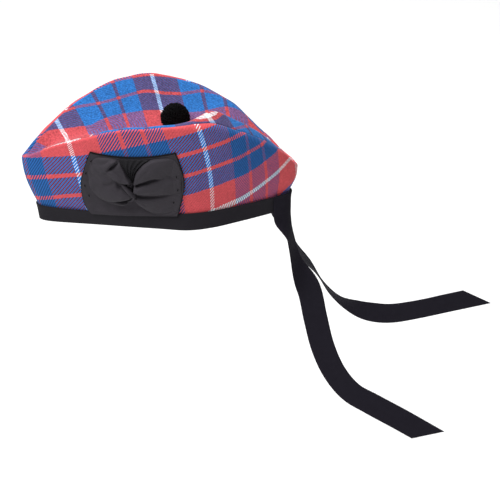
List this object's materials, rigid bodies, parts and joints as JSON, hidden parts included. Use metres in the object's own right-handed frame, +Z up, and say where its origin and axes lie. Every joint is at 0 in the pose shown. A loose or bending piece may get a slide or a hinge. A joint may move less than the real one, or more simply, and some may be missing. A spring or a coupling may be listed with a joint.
{
  "type": "glengarry",
  "caption": "Boat-shaped folding cap in a checked wool, with a dark ribbon-bound rim, a side cockade and bow, a pompom in the valley of its crown and two ribbon tails at the back.",
  "frame": {"origin": "middle of the head opening, in the plane of the rim's lower edge and halfway from its front to its back", "axes": "+X towards the back, where the tails hang; +Y towards the wearer's right; +Z up"},
  "size_m": [0.5248, 0.1288, 0.4321],
  "materials": {
    "wool": "twill-woven wool in a red and blue check with a thin white line",
    "binding": "near-black ribbed ribbon",
    "cockade_felt": "charcoal felt with a stitched edge",
    "bow_ribbon": "charcoal ribbed ribbon, folded and pleated",
    "toorie_yarn": "black wool yarn in cut locks",
    "tail_ribbon": "near-black ribbed ribbon with slanted ends"
  },
  "bodies": {
    "root": {"side_left": "wool", "side_right": "wool", "crown": "wool", "band": "binding", "cockade": "cockade_felt", "bow_front": "bow_ribbon", "bow_back": "bow_ribbon", "bow_knot": "bow_ribbon", "toorie": "toorie_yarn", "tail_left": "tail_ribbon", "tail_right": "tail_ribbon"}
  },
  "joints": []
}
